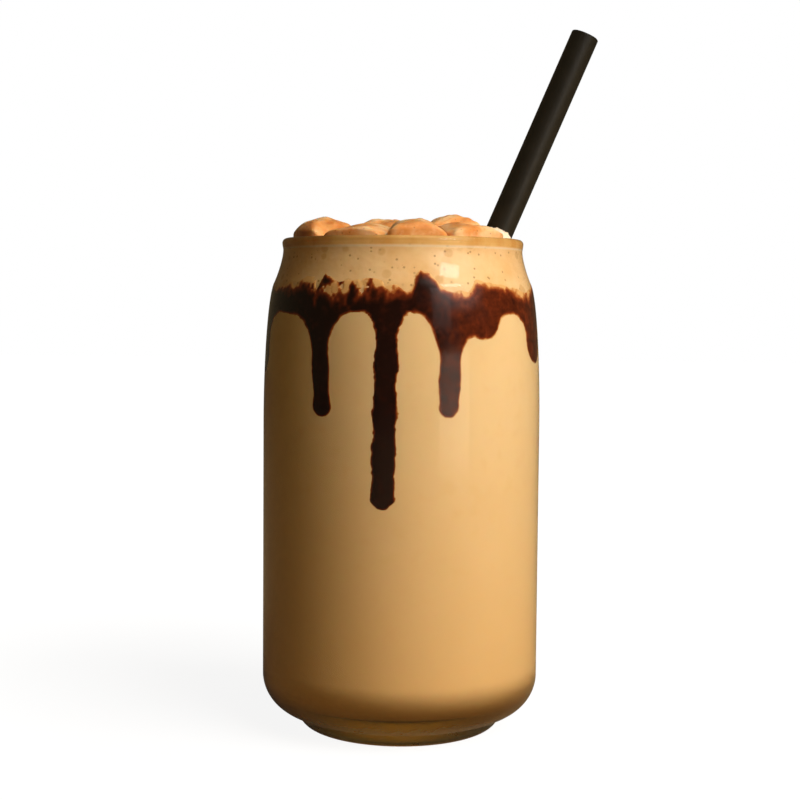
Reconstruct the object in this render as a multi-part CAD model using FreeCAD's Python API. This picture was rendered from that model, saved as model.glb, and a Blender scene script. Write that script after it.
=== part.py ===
"""Iced coffee in a can-shaped glass, with sauce down the wall, froth, ice and a leaning straw.

Millimetres, +Z up.  The origin is the middle of the glass's foot, level with the table.  The
straw leans out over +X.  An angle round the glass is in degrees from the front, which is -Y,
towards +X.  Each piece is one solid, written to its own STEP file in parts/.
"""
import FreeCAD, Part
import math
import os

# Glass: a straight body, a soft shoulder, a narrower neck and a rounded lip
glass_height = 132.5
body_radius = 37.5
wall = 2.25
neck_step = 5.2          # the neck stands in from the body by this much
lip_bead = 0.25          # the lip stands out from the neck by this much
shoulder_start = 49.5    # the heights of the shoulder and neck are measured down from the lip
shoulder_bend = 11.8
neck_start = 3.2
bend_step = 2.8          # how far the wall has come in at the shoulder's bend
bend_slope = 0.47        # how fast it comes in there
shoulder_pull = 14.5     # how long each end of the shoulder's curve keeps its direction
bend_pull = 4.0
neck_pull = 2.1
bead_pull = 0.6

# Its thick base: a foot ring under a round heel, hollowed a little underneath
foot_step = 9.7          # the foot's side stands in from the body by this much
foot_height = 4.0
foot_land = 2.0          # the flat ring that touches the table
heel_height = 14.5
punt_rise = 2.0
floor_height = 10.0
floor_corner = 8.0

# Drink and froth
froth_depth = 15.5       # from the lip down to where the froth ends and the drink starts
froth_edge = 1.5         # the froth meets the wall this far below the lip
froth_crown = 2.6        # and rises this far above the lip in the middle

# Straw
straw_radius = 3.84
straw_wall = 0.45
straw_length = 192.8
straw_lip_angle = 107.3
straw_foot_angle = -86.0
straw_foot_inset = 8.95  # from the glass's inner wall to the straw's axis at its lower end
straw_gap = 0.1          # left between the straw and what it leans on

# Chocolate sauce on the inside of the wall: a band all round, with drips below it
sauce_thickness = 0.8
sauce_top = 13.0         # the band's edges are measured down from the lip
sauce_edge = 19.5
drip_flare = 5.2
drip_overlap = 1.0       # how far a drip's outline reaches up into the band
drips = [                # angle, width, length below the band
    (-80.0, 9.0, 17.0), (-31.5, 5.6, 26.0), (-4.0, 6.4, 49.0), (22.0, 5.8, 26.0),
    (38.5, 7.0, 6.0), (77.0, 12.0, 13.5), (104.0, 6.5, 31.0), (128.0, 6.0, 21.0),
    (152.0, 6.4, 43.0), (179.0, 7.0, 14.0), (204.0, 6.6, 35.0), (229.0, 5.8, 23.0),
    (254.0, 7.0, 9.0),
]

# Lumps of ice jammed together in the mouth: each fills the space nearest to its own middle
ice_depth = 11.0         # from the lip down to the underside of the lumps
ice_gap = 0.9            # froth between one lump and the next
ice_wall_gap = 1.0       # froth between a lump and the glass
ice_straw_gap = 1.2
ice_facet = 28.0         # a lump's outer sides turn by this much, in degrees
ice_side = 5.5           # an outline's shorter sides are drawn together into one corner
ice_round = 3.4
ice_round_limit = 0.44   # a rounding takes at most this share of a lump's shortest edge
straw_place = (0.86, 0.10)   # the straw and the foam beside it keep this place free
ice_lumps = [            # middle x and y in mouth radii, rise above the lip, slopes in x and y
    (-0.75, -0.30, 5.2, 0.05, 0.08), (-0.30, -0.68, 3.0, 0.08, 0.12),
    (0.15, -0.72, 4.4, -0.05, 0.10), (0.58, -0.57, 3.6, -0.10, 0.10),
    (-0.10, -0.22, 5.2, -0.02, 0.02), (0.43, -0.13, 6.4, 0.03, -0.06),
    (-0.65, 0.32, 4.6, -0.08, 0.06), (-0.13, 0.31, 5.2, 0.10, -0.08),
    (0.34, 0.38, 4.4, -0.10, 0.08), (-0.37, 0.78, 3.8, 0.06, -0.12),
    (0.15, 0.83, 4.2, 0.10, -0.10), (0.60, 0.68, 3.4, -0.12, -0.10),
]

# A small mound of foam in front of the straw
mound_radius = 5.6
mound_angle = 84.0
mound_inset = 5.8        # from the neck's inner wall to the mound's middle
mound_rise = -2.0        # its middle, measured up from the lip

# Worked out from the sizes above
inner_radius = body_radius - wall
neck_radius = body_radius - neck_step
mouth_radius = neck_radius - wall
lip_radius = (wall + lip_bead) / 2
lip_level = glass_height - lip_radius
froth_level = glass_height - froth_depth
foot_radius = body_radius - foot_step - foot_height
beyond = 4 * glass_height    # longer than anything here, for the shapes that only cut


def at(radius, height):
    """A point of a profile, in the plane of X and Z."""
    return FreeCAD.Vector(radius, 0, height)


def round_the_glass(angle, radius, height):
    turn = math.radians(angle)
    return FreeCAD.Vector(radius * math.sin(turn), -radius * math.cos(turn), height)


def line(start, end):
    return Part.LineSegment(start, end).toShape()


def bezier(*poles):
    curve = Part.BezierCurve()
    curve.setPoles(list(poles))
    return curve.toShape()


def arc_up(start, end):
    """An arc that goes out from start and is upright where it reaches end."""
    across = end.x - start.x
    rise = end.z - start.z
    radius = (across ** 2 + rise ** 2) / (2 * across)
    half_turn = math.atan2(-rise, radius - across) / 2
    centre = at(end.x - radius, end.z)
    middle = centre + at(radius * math.cos(half_turn), radius * math.sin(half_turn))
    return Part.Arc(start, middle, end).toShape()


def dome(radius, edge_height, rise):
    """An arc from the axis, where it is level, out and down to the given radius."""
    bend = (radius ** 2 + rise ** 2) / (2 * rise)
    half_turn = math.asin(radius / bend) / 2
    centre = at(0, edge_height + rise - bend)
    middle = centre + at(bend * math.sin(half_turn), bend * math.cos(half_turn))
    return Part.Arc(at(0, edge_height + rise), middle, at(radius, edge_height)).toShape()


def revolved(edges):
    profile = Part.Face(Part.Wire(Part.__sortEdges__(edges)))
    solid = profile.revolve(FreeCAD.Vector(0, 0, 0), FreeCAD.Vector(0, 0, 1), 360)
    return solid.Solids[0] if solid.Solids else Part.Solid(solid)


def shoulder_and_neck(inset):
    """The wall's curve from the body to the top of the neck, this far inside the outer face."""
    body = body_radius - inset
    bend = body - bend_step
    neck = neck_radius - inset
    start = glass_height - shoulder_start
    turn = glass_height - shoulder_bend
    top = glass_height - neck_start
    shoulder = bezier(at(body, start), at(body, start + shoulder_pull),
                      at(bend + bend_slope * bend_pull, turn - bend_pull), at(bend, turn))
    hollow = bezier(at(bend, turn), at(bend - bend_slope * neck_pull, turn + neck_pull),
                    at(neck, top - neck_pull), at(neck, top))
    return [shoulder, hollow]


def inside(inset, top):
    """The inner profile from the axis along the floor and up the wall to the given height."""
    wide = body_radius - inset
    neck = neck_radius - inset
    corner = at(wide, floor_height + floor_corner)
    return [
        line(at(0, floor_height), at(wide - floor_corner, floor_height)),
        arc_up(at(wide - floor_corner, floor_height), corner),
        line(corner, at(wide, glass_height - shoulder_start)),
    ] + shoulder_and_neck(inset) + [line(at(neck, glass_height - neck_start), at(neck, top))]


def floor_under(radius):
    """Height of the glass's inner floor at a radius, with its round corner."""
    into_corner = max(0.0, radius - (inner_radius - floor_corner))
    return floor_height + floor_corner - math.sqrt(floor_corner ** 2 - into_corner ** 2)


def make_glass():
    land_inner = foot_radius - foot_land
    side = at(body_radius - foot_step, foot_height)
    heel_top = at(body_radius, heel_height)
    neck_top = at(neck_radius, glass_height - neck_start)
    lip_outer = at(neck_radius + lip_bead, lip_level)
    lip_inner = at(mouth_radius, lip_level)
    outside = [
        dome(land_inner, 0, punt_rise),
        line(at(land_inner, 0), at(foot_radius, 0)),
        arc_up(at(foot_radius, 0), side),
        arc_up(side, heel_top),
        line(heel_top, at(body_radius, glass_height - shoulder_start)),
    ] + shoulder_and_neck(0)
    lip = [
        bezier(neck_top, neck_top + at(0, bead_pull), lip_outer - at(0, bead_pull), lip_outer),
        Part.Arc(lip_outer, at(mouth_radius + lip_radius, glass_height), lip_inner).toShape(),
    ]
    axis = line(at(0, floor_height), at(0, punt_rise))
    return revolved(outside + lip + inside(wall, lip_level) + [axis])


def make_contents():
    """All that the glass holds, as one solid with the froth's domed top."""
    edge = glass_height - froth_edge
    crown = glass_height + froth_crown
    top = dome(mouth_radius, edge, crown - edge)
    axis = line(at(0, crown), at(0, floor_height))
    return revolved(inside(wall, edge) + [top, axis])


def slab(low, high):
    return Part.makeCylinder(beyond, high - low, at(0, low))


def straw_ends():
    """The ends of the straw's axis: it stands on the floor and leans on the lip."""
    foot = round_the_glass(straw_foot_angle, inner_radius - straw_foot_inset, floor_height)
    lean = 0.0
    for _ in range(4):
        side = mouth_radius + lip_radius * (1 - math.cos(lean)) - straw_gap
        touch = lip_level + lip_radius * math.sin(lean)
        rest = round_the_glass(straw_lip_angle, side - straw_radius / math.cos(lean), touch)
        along = (rest - foot).normalize()
        lean = math.acos(along.z)
        lowest = straw_radius * math.sin(lean)
        reach = math.hypot(foot.x, foot.y) + straw_radius * math.cos(lean)
        foot.z = floor_under(reach) + straw_gap + lowest
    return foot, foot + along * straw_length


def straw_shape(radius):
    foot, top = straw_ends()
    return Part.makeCylinder(radius, straw_length, foot, top - foot)


def make_straw():
    return straw_shape(straw_radius).cut(straw_shape(straw_radius - straw_wall))


def drip_outline(width, length):
    """A drip seen from the front: flared where it leaves the band, round at its tip."""
    half = width / 2
    flare = min(drip_flare, length - half)
    top = drip_overlap
    wide = half + flare
    bulge = flare * (1 - math.sqrt(0.5))
    tip = -length

    def point(x, z):
        return FreeCAD.Vector(x, 0, z)

    edges = [
        line(point(-wide, top), point(wide, top)),
        line(point(wide, top), point(wide, 0)),
        Part.Arc(point(wide, 0), point(half + bulge, -bulge), point(half, -flare)).toShape(),
        Part.Arc(point(half, tip + half), point(0, tip), point(-half, tip + half)).toShape(),
        Part.Arc(point(-half, -flare), point(-half - bulge, -bulge), point(-wide, 0)).toShape(),
        line(point(-wide, 0), point(-wide, top)),
    ]
    if length - half > flare:
        edges.append(line(point(half, -flare), point(half, tip + half)))
        edges.append(line(point(-half, -flare), point(-half, tip + half)))
    return Part.Face(Part.Wire(Part.__sortEdges__(edges)))


def make_sauce():
    coat = revolved(inside(wall, lip_level) + [
        line(at(mouth_radius, lip_level), at(0, lip_level)),
        line(at(0, lip_level), at(0, floor_height)),
    ])
    core = revolved(inside(wall + sauce_thickness, lip_level) + [
        line(at(mouth_radius - sauce_thickness, lip_level), at(0, lip_level)),
        line(at(0, lip_level), at(0, floor_height)),
    ])
    coat = coat.cut(core)
    edge = glass_height - sauce_edge
    pieces = []
    for angle, width, length in drips:
        outline = drip_outline(width, length)
        prism = outline.extrude(FreeCAD.Vector(0, -beyond, 0))
        prism.rotate(FreeCAD.Vector(0, 0, 0), FreeCAD.Vector(0, 0, 1), angle)
        prism.translate(at(0, edge))
        pieces.append(coat.common(prism))
    band = coat.common(slab(edge, glass_height - sauce_top))
    return band.fuse(pieces).removeSplitter()


def clipped(corners, nx, ny, limit):
    """The part of a convex outline where nx * x + ny * y is no more than the limit."""
    kept = []
    for (x0, y0), (x1, y1) in zip(corners, corners[1:] + corners[:1]):
        over0 = nx * x0 + ny * y0 - limit
        over1 = nx * x1 + ny * y1 - limit
        if over0 <= 0:
            kept.append((x0, y0))
        if over0 * over1 < 0:
            share = over0 / (over0 - over1)
            kept.append((x0 + share * (x1 - x0), y0 + share * (y1 - y0)))
    return kept


def drawn_together(corners):
    """The outline with each side shorter than the least one shrunk to its own middle."""
    while True:
        sides = [math.dist(corners[i - 1], corners[i]) for i in range(len(corners))]
        short = sides.index(min(sides))
        if sides[short] >= ice_side or len(corners) <= 4:
            return corners
        (x0, y0), (x1, y1) = corners[short - 1], corners[short]
        corners[short] = ((x0 + x1) / 2, (y0 + y1) / 2)
        del corners[short - 1]


def ice_outline(own, others):
    """What lies nearer to one lump's middle than to any other's, clear of them and the wall."""
    far = 2 * mouth_radius
    corners = [(-far, -far), (far, -far), (far, far), (-far, far)]
    for other in others:
        dx = other[0] - own[0]
        dy = other[1] - own[1]
        apart = math.hypot(dx, dy)
        nx, ny = dx / apart, dy / apart
        half_way = nx * (own[0] + other[0]) / 2 + ny * (own[1] + other[1]) / 2
        corners = clipped(corners, nx, ny, half_way - ice_gap / 2)
    facing = math.atan2(own[1], own[0])
    facet = math.radians(ice_facet)
    for turn in (-facet, 0, facet):
        reach = (mouth_radius - ice_wall_gap) * math.cos(facet / 2)
        corners = clipped(corners, math.cos(facing + turn), math.sin(facing + turn), reach)
    return drawn_together(corners)


def make_ice():
    """Rounded blocks with slanting tops, in the order of the list."""
    places = [(lump[0] * mouth_radius, lump[1] * mouth_radius) for lump in ice_lumps]
    free = (straw_place[0] * mouth_radius, straw_place[1] * mouth_radius)
    bottom = glass_height - ice_depth
    straw = straw_shape(straw_radius + ice_straw_gap)
    lumps = []
    for number, (_, _, rise, slope_x, slope_y) in enumerate(ice_lumps):
        own = places[number]
        corners = ice_outline(own, places[:number] + places[number + 1:] + [free])
        lower = [FreeCAD.Vector(x, y, bottom) for x, y in corners]
        prism = Part.Face(Part.makePolygon(lower + lower[:1])).extrude(at(0, beyond))
        middle = FreeCAD.Vector(own[0], own[1], glass_height + rise)
        above = Part.makeCylinder(beyond, beyond, middle, FreeCAD.Vector(-slope_x, -slope_y, 1))
        block = prism.cut(above)
        shortest = min(edge.Length for edge in block.Edges)
        rounding = min(ice_round, ice_round_limit * shortest)
        lumps.append(block.makeFillet(rounding, block.Edges).cut(straw))
    return lumps


def make_froth(contents):
    froth = contents.cut(slab(-beyond, froth_level))
    middle = round_the_glass(mound_angle, mouth_radius - mound_inset, glass_height + mound_rise)
    mound = Part.makeSphere(mound_radius, middle)
    return froth.fuse(mound).removeSplitter()


def whole(shape):
    """The single solid of a shape, which stops the build if there are more."""
    solids = shape.Solids
    if len(solids) != 1:
        raise ValueError("expected one solid, found %d" % len(solids))
    return solids[0]


glass = make_glass()
straw = make_straw()
sauce = make_sauce()
ice = make_ice()
contents = make_contents()
coffee = contents.common(slab(-beyond, froth_level)).cut([straw, sauce])
froth = make_froth(contents).cut([straw_shape(straw_radius), sauce] + ice)

nodes = {
    "glass": glass,
    "coffee": coffee,
    "froth": froth,
    "chocolate_sauce": sauce,
    "straw": straw,
}
for number, lump in enumerate(ice, start=1):
    nodes["ice_lump_%02d" % number] = lump

os.makedirs("parts", exist_ok=True)
for name, shape in nodes.items():
    solid = whole(shape)
    solid.exportStep("parts/%s.step" % name)
    box = solid.BoundBox
    print("%-16s %9.1f mm3  z %6.1f to %6.1f  %s"
          % (name, solid.Volume, box.ZMin, box.ZMax, "ok" if solid.isValid() else "INVALID"))
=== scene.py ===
"""Iced coffee in a can-shaped glass: the looks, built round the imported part.

Sizes are worked out in millimetres in the part's own frame and turned into metres where a mesh
is made.  An angle round the glass is in degrees from the front, which is -Y, towards +X.
"""
import math

import bpy
import numpy as np
from mathutils import Matrix


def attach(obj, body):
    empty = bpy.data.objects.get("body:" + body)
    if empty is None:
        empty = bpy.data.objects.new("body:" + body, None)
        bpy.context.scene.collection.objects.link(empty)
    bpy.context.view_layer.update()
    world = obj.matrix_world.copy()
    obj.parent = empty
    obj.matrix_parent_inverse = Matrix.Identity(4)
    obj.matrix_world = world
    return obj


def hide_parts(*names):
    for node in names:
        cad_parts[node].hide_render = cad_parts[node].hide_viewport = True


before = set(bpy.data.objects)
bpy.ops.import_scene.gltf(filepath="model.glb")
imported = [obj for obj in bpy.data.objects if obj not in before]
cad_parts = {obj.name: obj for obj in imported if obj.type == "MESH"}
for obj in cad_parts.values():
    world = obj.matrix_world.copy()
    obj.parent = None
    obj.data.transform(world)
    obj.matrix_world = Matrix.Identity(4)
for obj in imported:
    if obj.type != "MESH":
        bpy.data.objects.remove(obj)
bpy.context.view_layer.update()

MM = 0.001

# The glass, as the part has it
GLASS_HEIGHT = 132.5
BODY_RADIUS = 37.5
WALL = 2.25
NECK_RADIUS = 32.3
MOUTH_RADIUS = NECK_RADIUS - WALL
FLOOR_HEIGHT = 10.0
FLOOR_CORNER = 8.0
SHOULDER_FOOT = 83.0
SHOULDER_TOP = 120.7
SHOULDER_INSET = 2.8
NECK_FOOT = 129.3
LIP_RADIUS = 1.25
LIP_MIDDLE = GLASS_HEIGHT - LIP_RADIUS
LIP_PROUD = 0.25
HOLLOW_RADIUS = 21.8
HOLLOW_RISE = 2.0
FOOT_RADIUS = 23.8
HEEL_FOOT = (27.8, 4.0)
HEEL_TOP = 14.5

# What fills it reaches this far into the wall, so that no air shows between them
DRINK_BITE = 0.12
FROTH_BITE = 0.14
SAUCE_BITE = 0.30
SAUCE_EDGE_BITE = 0.15
FROTH_FOOT = 117.0
FROTH_EDGE = 131.0
FROTH_LAP = 0.7
FROTH_SINK = 0.6
DRINK_RISE = 1.0


# ---------------------------------------------------------------- shapes from arrays

def mesh_piece(name, points, faces, paint, uv=None, fields=None):
    """One object from points in millimetres and faces as rows of four corner numbers.

    A triangle is a row that ends with the same corner twice.  The faces are turned outwards by
    the sign of the volume, which is the sum over the triangles of a . (b x c) / 6.  A triangle
    that is turned round begins with the doubled corner, so it is taken for a quad and validate
    drops it: the lumps and the bubbles are open at their poles for that reason.
    """
    points = np.asarray(points, float)
    faces = np.asarray(faces, np.int64)
    corners = points[faces]
    volume = sum(
        np.einsum("ij,ij->i", corners[:, 0], np.cross(corners[:, k], corners[:, k + 1])).sum()
        for k in (1, 2)
    )
    if volume < 0:
        faces = faces[:, ::-1]
    mesh = bpy.data.meshes.new(name)
    mesh.vertices.add(len(points))
    mesh.vertices.foreach_set("co", (points * MM).astype(np.float32).ravel())
    totals = np.where(faces[:, -1] == faces[:, -2], 3, 4)
    keep = np.ones(faces.shape, bool)
    keep[:, 3] = totals == 4
    loops = faces[keep]
    starts = np.concatenate([[0], np.cumsum(totals)[:-1]])
    mesh.loops.add(len(loops))
    mesh.loops.foreach_set("vertex_index", loops.astype(np.int32))
    mesh.polygons.add(len(totals))
    mesh.polygons.foreach_set("loop_start", starts.astype(np.int32))
    mesh.polygons.foreach_set("use_smooth", np.ones(len(totals), bool))
    mesh.update(calc_edges=True)
    mesh.validate()
    for field, values in (fields or {}).items():
        layer = mesh.attributes.new(field, "FLOAT", "POINT")
        layer.data.foreach_set("value", np.asarray(values, np.float32).ravel())
    if uv is not None:
        order = np.empty(len(mesh.loops), np.int32)
        mesh.loops.foreach_get("vertex_index", order)
        layer = mesh.uv_layers.new(name="along")
        layer.data.foreach_set("uv", np.asarray(uv, np.float32)[order].ravel())
    mesh.materials.append(paint)
    piece = bpy.data.objects.new(name, mesh)
    bpy.context.scene.collection.objects.link(piece)
    return piece


def ring_faces(rows, columns):
    """Quads of a grid of closed rings, row i joined to row i + 1."""
    row, column = np.meshgrid(np.arange(rows - 1), np.arange(columns), indexing="ij")
    beside = (column + 1) % columns
    quads = [row * columns + column, row * columns + beside,
             (row + 1) * columns + beside, (row + 1) * columns + column]
    return np.stack(quads, -1).reshape(-1, 4)


def capped(rings, first_pole, last_pole):
    """Points and faces of stacked rings, an array (rows, columns, 3), closed at both poles."""
    rows, columns, _ = rings.shape
    points = np.vstack([rings.reshape(-1, 3), first_pole, last_pole])
    column = np.arange(columns)
    beside = (column + 1) % columns
    low = np.full(columns, rows * columns)
    top = (rows - 1) * columns
    first = np.stack([low, beside, column, column], -1)
    last = np.stack([low + 1, top + column, top + beside, top + beside], -1)
    return points, np.vstack([ring_faces(rows, columns), first, last])


def round_the_glass(angle, radius, height):
    """Points at angles in degrees: (radius sin a, -radius cos a, height)."""
    turn = np.radians(angle)
    return np.stack(np.broadcast_arrays(radius * np.sin(turn), -radius * np.cos(turn), height), -1)


def turned(profile, columns):
    """A profile of (radius, height) rows carried round the axis; its ends lie on the axis."""
    angle = np.arange(columns) * 360.0 / columns
    body = profile[1:-1]
    rings = round_the_glass(angle[None, :], body[:, :1], body[:, 1:])
    return capped(rings, (0, 0, profile[0, 1]), (0, 0, profile[-1, 1]))


def bezier(poles, steps):
    """Points of a cubic Bezier curve, sum of Bernstein weights times poles."""
    t = np.linspace(0, 1, steps)[:, None]
    p = np.asarray(poles, float)
    return ((1 - t) ** 3 * p[0] + 3 * (1 - t) ** 2 * t * p[1]
            + 3 * (1 - t) * t ** 2 * p[2] + t ** 3 * p[3])


def arc_up(start, end, steps):
    """An arc from start that is upright where it reaches end."""
    across = end[0] - start[0]
    rise = end[1] - start[1]
    radius = (across ** 2 + rise ** 2) / (2 * across)
    first = math.atan2(-rise, radius - across)
    turn = np.linspace(first, 0, steps)
    return np.stack([end[0] - radius + radius * np.cos(turn),
                     end[1] + radius * np.sin(turn)], -1)


def straight(start, end, steps):
    """Points of a straight line from start to end, both ends included."""
    share = np.linspace(0, 1, steps)[:, None]
    return np.asarray(start, float) * (1 - share) + np.asarray(end, float) * share


def joined(*runs):
    """Runs of points end to end, without the doubles where they meet."""
    points = np.vstack(runs)
    step = np.linalg.norm(np.diff(points, axis=0), axis=1)
    return points[np.concatenate([[True], step > 1e-6])]


SHARP_BEND = 0.35


def eased(profile, reach):
    """The profile with points just before and after each sharp corner, for crisp shading.

    The corner itself is drawn in by a quarter of the step from one of them to the other.
    """
    before = profile[1:-1] - profile[:-2]
    after = profile[2:] - profile[1:-1]
    long_before = np.linalg.norm(before, axis=1)
    long_after = np.linalg.norm(after, axis=1)
    bend = np.abs(np.arctan2(before[:, 0] * after[:, 1] - before[:, 1] * after[:, 0],
                             (before * after).sum(1)))
    back = before / long_before[:, None] * np.minimum(reach, 0.45 * long_before)[:, None]
    onward = after / long_after[:, None] * np.minimum(reach, 0.45 * long_after)[:, None]
    here = profile[1:-1]
    trio = np.stack([here - back, here + (onward - back) * 0.25, here + onward], 1)
    sharp = bend > SHARP_BEND
    trio[~sharp, 1] = here[~sharp]
    keep = np.stack([sharp, np.ones_like(sharp), sharp], 1)
    return np.vstack([profile[:1], trio[keep], profile[-1:]])


def shoulder_and_neck(inset):
    """The wall's curve from the straight body to the top of the neck, inset from its outer face."""
    body = BODY_RADIUS - inset
    bend = body - SHOULDER_INSET
    neck = NECK_RADIUS - inset
    shoulder = bezier([(body, SHOULDER_FOOT), (body, 97.5), (bend + 1.88, 116.7),
                       (bend, SHOULDER_TOP)], 60)
    hollow = bezier([(bend, SHOULDER_TOP), (bend - 0.987, 122.8), (neck, 127.2),
                     (neck, NECK_FOOT)], 26)
    return joined(shoulder, hollow)


def inner_wall(inset, top):
    """The inner profile from the floor's edge up the wall to the given height."""
    wide = BODY_RADIUS - inset
    corner = (wide, FLOOR_HEIGHT + FLOOR_CORNER)
    return joined(
        arc_up((wide - FLOOR_CORNER, FLOOR_HEIGHT - WALL + inset), corner, 20),
        straight(corner, (wide, SHOULDER_FOOT), 24),
        shoulder_and_neck(inset),
        straight((NECK_RADIUS - inset, NECK_FOOT), (NECK_RADIUS - inset, top), 4),
    )


WALL_CURVE = inner_wall(WALL, LIP_MIDDLE)


def wall_radius(height):
    """The inner wall's radius at a height above the floor's corner."""
    return np.interp(height, WALL_CURVE[:, 1], WALL_CURVE[:, 0])


# ---------------------------------------------------------------- seeded unevenness

def speckle(u, v, cells_u, cells_v, seed):
    """Smooth random values from -1 to 1 over u and v in 0..1, which repeat round u.

    Random numbers at the corners of a cells_u by cells_v net, blended by 3t^2 - 2t^3.
    """
    corner = np.random.default_rng(seed).uniform(-1, 1, (cells_u, cells_v + 2))
    x = np.mod(u, 1.0) * cells_u
    y = np.clip(v, 0, 1) * cells_v
    i = np.floor(x).astype(int) % cells_u
    j = np.floor(y).astype(int)
    s = x - np.floor(x)
    t = y - np.floor(y)
    s = s * s * (3 - 2 * s)
    t = t * t * (3 - 2 * t)
    k = (i + 1) % cells_u
    return ((corner[i, j] * (1 - s) + corner[k, j] * s) * (1 - t)
            + (corner[i, j + 1] * (1 - s) + corner[k, j + 1] * s) * t)


def ripple(points, wave, seed):
    """Smooth unevenness in space, mostly from -1 to 1.

    It is the sum of seven sines along random directions, over 4.
    """
    draw = np.random.default_rng(seed)
    total = 0.0
    for _ in range(7):
        way = draw.normal(size=3)
        way *= 2 * math.pi / (wave * draw.uniform(0.7, 1.5) * np.linalg.norm(way))
        total = total + np.sin(points @ way + draw.uniform(0, 2 * math.pi))
    return total / 4.0


# ---------------------------------------------------------------- paints

def colour(red, green, blue):
    """A colour given by its 0..255 screen values, as the renderer wants it."""
    screen = np.array([red, green, blue]) / 255.0
    plain = np.where(screen <= 0.04045, screen / 12.92, ((screen + 0.055) / 1.055) ** 2.4)
    return (float(plain[0]), float(plain[1]), float(plain[2]), 1.0)


def new_paint(name):
    """An empty material and its node tree."""
    paint = bpy.data.materials.new(name)
    paint.use_nodes = True
    paint.node_tree.nodes.clear()
    return paint, paint.node_tree


def node(tree, kind, inputs=None, **settings):
    """A node of a paint: inputs by name or number, each a value or another node's socket."""
    made = tree.nodes.new(kind)
    for key, value in settings.items():
        setattr(made, key, value)
    for key, value in (inputs or {}).items():
        if isinstance(value, bpy.types.NodeSocket):
            tree.links.new(value, made.inputs[key])
        else:
            made.inputs[key].default_value = value
    return made


def ramp(tree, factor, stops):
    """A colour ramp through (place, colour) stops."""
    made = node(tree, "ShaderNodeValToRGB", {"Fac": factor})
    bar = made.color_ramp
    while len(bar.elements) < len(stops):
        bar.elements.new(0.5)
    for element, (place, shade) in zip(bar.elements, stops):
        element.position = place
        element.color = shade
    return made.outputs["Color"]


def blend(tree, factor, first, second):
    """A mix of two colours, the second's share given by factor."""
    made = node(tree, "ShaderNodeMix", data_type="RGBA")
    for socket, value in zip((made.inputs[0], made.inputs[6], made.inputs[7]),
                             (factor, first, second)):
        if isinstance(value, bpy.types.NodeSocket):
            tree.links.new(value, socket)
        else:
            socket.default_value = value
    return made.outputs[2]


def maths(tree, operation, first, second=0.0, clamp=False):
    """One step of arithmetic on two values, held to 0..1 where clamp is set."""
    made = node(tree, "ShaderNodeMath", {0: first, 1: second}, operation=operation)
    made.use_clamp = clamp
    return made.outputs[0]


def rescaled(tree, value, low, high, to_low=0.0, to_high=1.0):
    """A value taken from the span low..high to the span to_low..to_high, and held there."""
    made = node(tree, "ShaderNodeMapRange", {"Value": value, "From Min": low, "From Max": high,
                                             "To Min": to_low, "To Max": to_high})
    return made.outputs["Result"]


def cloud(tree, scale, detail=3.0, roughness=0.5, place=None):
    """Soft noise from 0 to 1 over the piece's own coordinates."""
    inputs = {"Scale": scale, "Detail": detail, "Roughness": roughness}
    inputs["Vector"] = place or node(tree, "ShaderNodeTexCoord").outputs["Object"]
    return node(tree, "ShaderNodeTexNoise", inputs).outputs["Fac"]


def cells(tree, scale, place=None):
    """Distance to the nearest of scattered points, and that point's own random shade."""
    where = place or node(tree, "ShaderNodeTexCoord").outputs["Object"]
    made = node(tree, "ShaderNodeTexVoronoi", {"Scale": scale, "Vector": where})
    return made.outputs["Distance"], made.outputs["Color"]


def height_of(tree):
    """The height of each spot of a piece above the table, in metres."""
    spot = node(tree, "ShaderNodeTexCoord").outputs["Object"]
    return node(tree, "ShaderNodeSeparateXYZ", {0: spot}).outputs["Z"]


def finish_paint(tree, shader, volume=None):
    """Joins a shader, and a volume where there is one, to the material's output."""
    out = node(tree, "ShaderNodeOutputMaterial", {"Surface": shader})
    if volume is not None:
        tree.links.new(volume, out.inputs["Volume"])


def bumped(tree, height, strength, distance):
    """Normals tilted by a height pattern that is distance millimetres deep."""
    made = node(tree, "ShaderNodeBump", {"Height": height, "Strength": strength,
                                         "Distance": distance * MM})
    return made.outputs["Normal"]


def clear_glass():
    """Pressed glass: a warm cast where it is thick, an uneven face, a duller heel and foot.

    Shadow rays and rays between matt surfaces pass straight through, so that light reaches
    what stands behind the wall.
    """
    paint, tree = new_paint("glass_clear")
    wave = cloud(tree, 60.0, 2.0)
    streak = cloud(tree, 240.0, 3.0)
    frosted = rescaled(tree, height_of(tree), 13.0 * MM, 6.0 * MM, 0.0, 0.2)
    rough = maths(tree, "ADD", rescaled(tree, streak, 0.35, 0.75, 0.07, 0.14), frosted)
    glass = node(tree, "ShaderNodeBsdfPrincipled", {
        "Base Color": (1.0, 1.0, 1.0, 1.0), "Transmission Weight": 1.0, "IOR": 1.47,
        "Roughness": rough,
        "Normal": bumped(tree, wave, 0.05, 1.0)})
    path = node(tree, "ShaderNodeLightPath")
    through = maths(tree, "MAXIMUM", path.outputs["Is Shadow Ray"],
                    path.outputs["Is Diffuse Ray"])
    clear = node(tree, "ShaderNodeBsdfTransparent", {"Color": (1.0, 1.0, 1.0, 1.0)})
    mixed = node(tree, "ShaderNodeMixShader", {0: through, 1: glass.outputs[0],
                                               2: clear.outputs[0]})
    tint = node(tree, "ShaderNodeVolumeAbsorption", {"Color": (0.62, 0.50, 0.20, 1.0),
                                                     "Density": 90.0})
    finish_paint(tree, mixed.outputs[0], tint.outputs[0])
    return paint


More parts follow.
